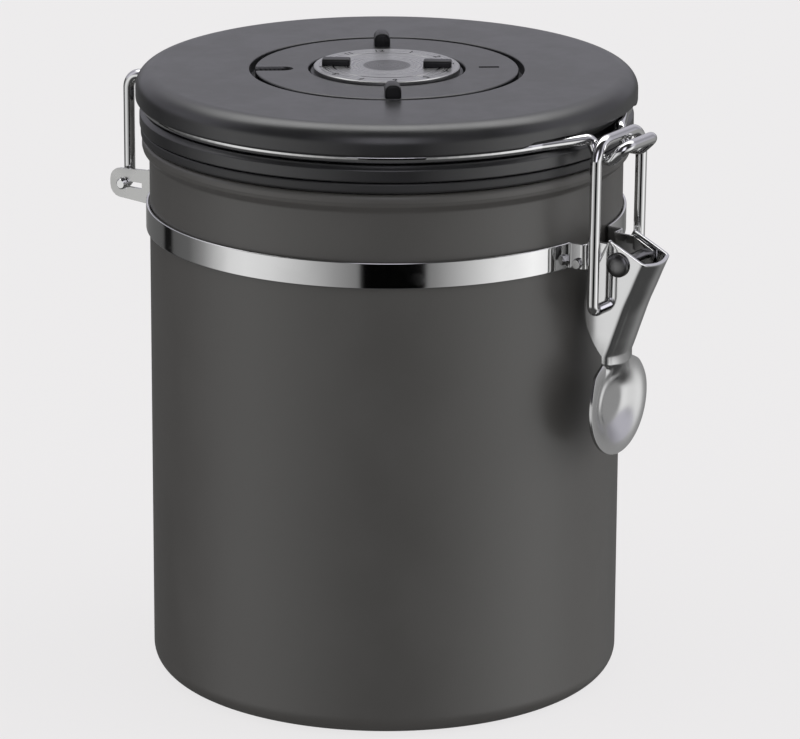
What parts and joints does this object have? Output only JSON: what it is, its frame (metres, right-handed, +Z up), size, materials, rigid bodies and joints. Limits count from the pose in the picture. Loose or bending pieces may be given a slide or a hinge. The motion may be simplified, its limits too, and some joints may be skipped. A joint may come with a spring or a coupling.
{
  "type": "food canister",
  "caption": "Round steel food canister with a wire-hinged clamp lid, an over-centre toggle latch, and a turning date ring and dial in the lid.",
  "frame": {"origin": "centre of the canister's flat underside", "axes": "+Z up along the canister's axis, -Y towards the latch, +Y towards the lid's hinge"},
  "size_m": [0.132, 0.1618, 0.1671],
  "materials": {
    "coated_steel": "matte",
    "polished_steel": "polished",
    "wire_steel": "polished",
    "satin_steel": "satin",
    "dark_steel": "satin",
    "dial_metal": "brushed",
    "lid_plastic": "matte",
    "black_plastic": "matte",
    "silicone": "matte"
  },
  "bodies": {
    "canister": {"canister_body": "coated_steel", "clamp_band": "polished_steel", "band_bolt": "satin_steel", "band_nut": "satin_steel", "lever_rivet": "dark_steel", "hinge_bracket": "satin_steel", "bracket_rivet_left": "satin_steel", "bracket_rivet_right": "satin_steel"},
    "lid": {"lid_shell": "lid_plastic", "lid_gasket": "silicone", "lid_liner": "lid_plastic", "liner_screw_1": "satin_steel", "liner_screw_2": "satin_steel", "liner_screw_3": "satin_steel", "lid_hoop": "wire_steel"},
    "ring": {"date_ring": "lid_plastic", "ring_grip_front": "black_plastic", "ring_grip_rear": "black_plastic"},
    "dial": {"dial_base": "black_plastic", "dial_plate": "dial_metal", "dial_grip_left": "black_plastic", "dial_grip_right": "black_plastic", "dial_washer": "satin_steel", "dial_screw": "satin_steel"},
    "lever": {"latch_lever": "polished_steel"},
    "link": {"latch_link": "wire_steel"}
  },
  "joints": [
    {"name": "lid_hinge", "type": "hinge", "parent": "canister", "child": "lid", "pos_m": [0, 0.0733, 0.1255], "axis": [-1, 0, 0], "range_deg": [0, 190]},
    {"name": "ring_turn", "type": "hinge", "parent": "lid", "child": "ring", "pos_m": [0, 0, 0.1607], "axis": [0, 0, 1], "continuous": true},
    {"name": "dial_turn", "type": "hinge", "parent": "lid", "child": "dial", "pos_m": [0, 0, 0.1607], "axis": [0, 0, 1], "continuous": true},
    {"name": "lever_hinge", "type": "hinge", "parent": "canister", "child": "lever", "pos_m": [0, -0.07524, 0.1233], "axis": [-1, 0, 0], "range_deg": [0, 100]},
    {"name": "link_hinge", "type": "hinge", "parent": "lever", "child": "link", "pos_m": [0, -0.07064, 0.1111], "axis": [-1, 0, 0], "range_deg": [-74, 0]}
  ],
  "couplings": [
    {"joint": "link_hinge", "follows": "lever_hinge", "ratio": -0.74}
  ]
}
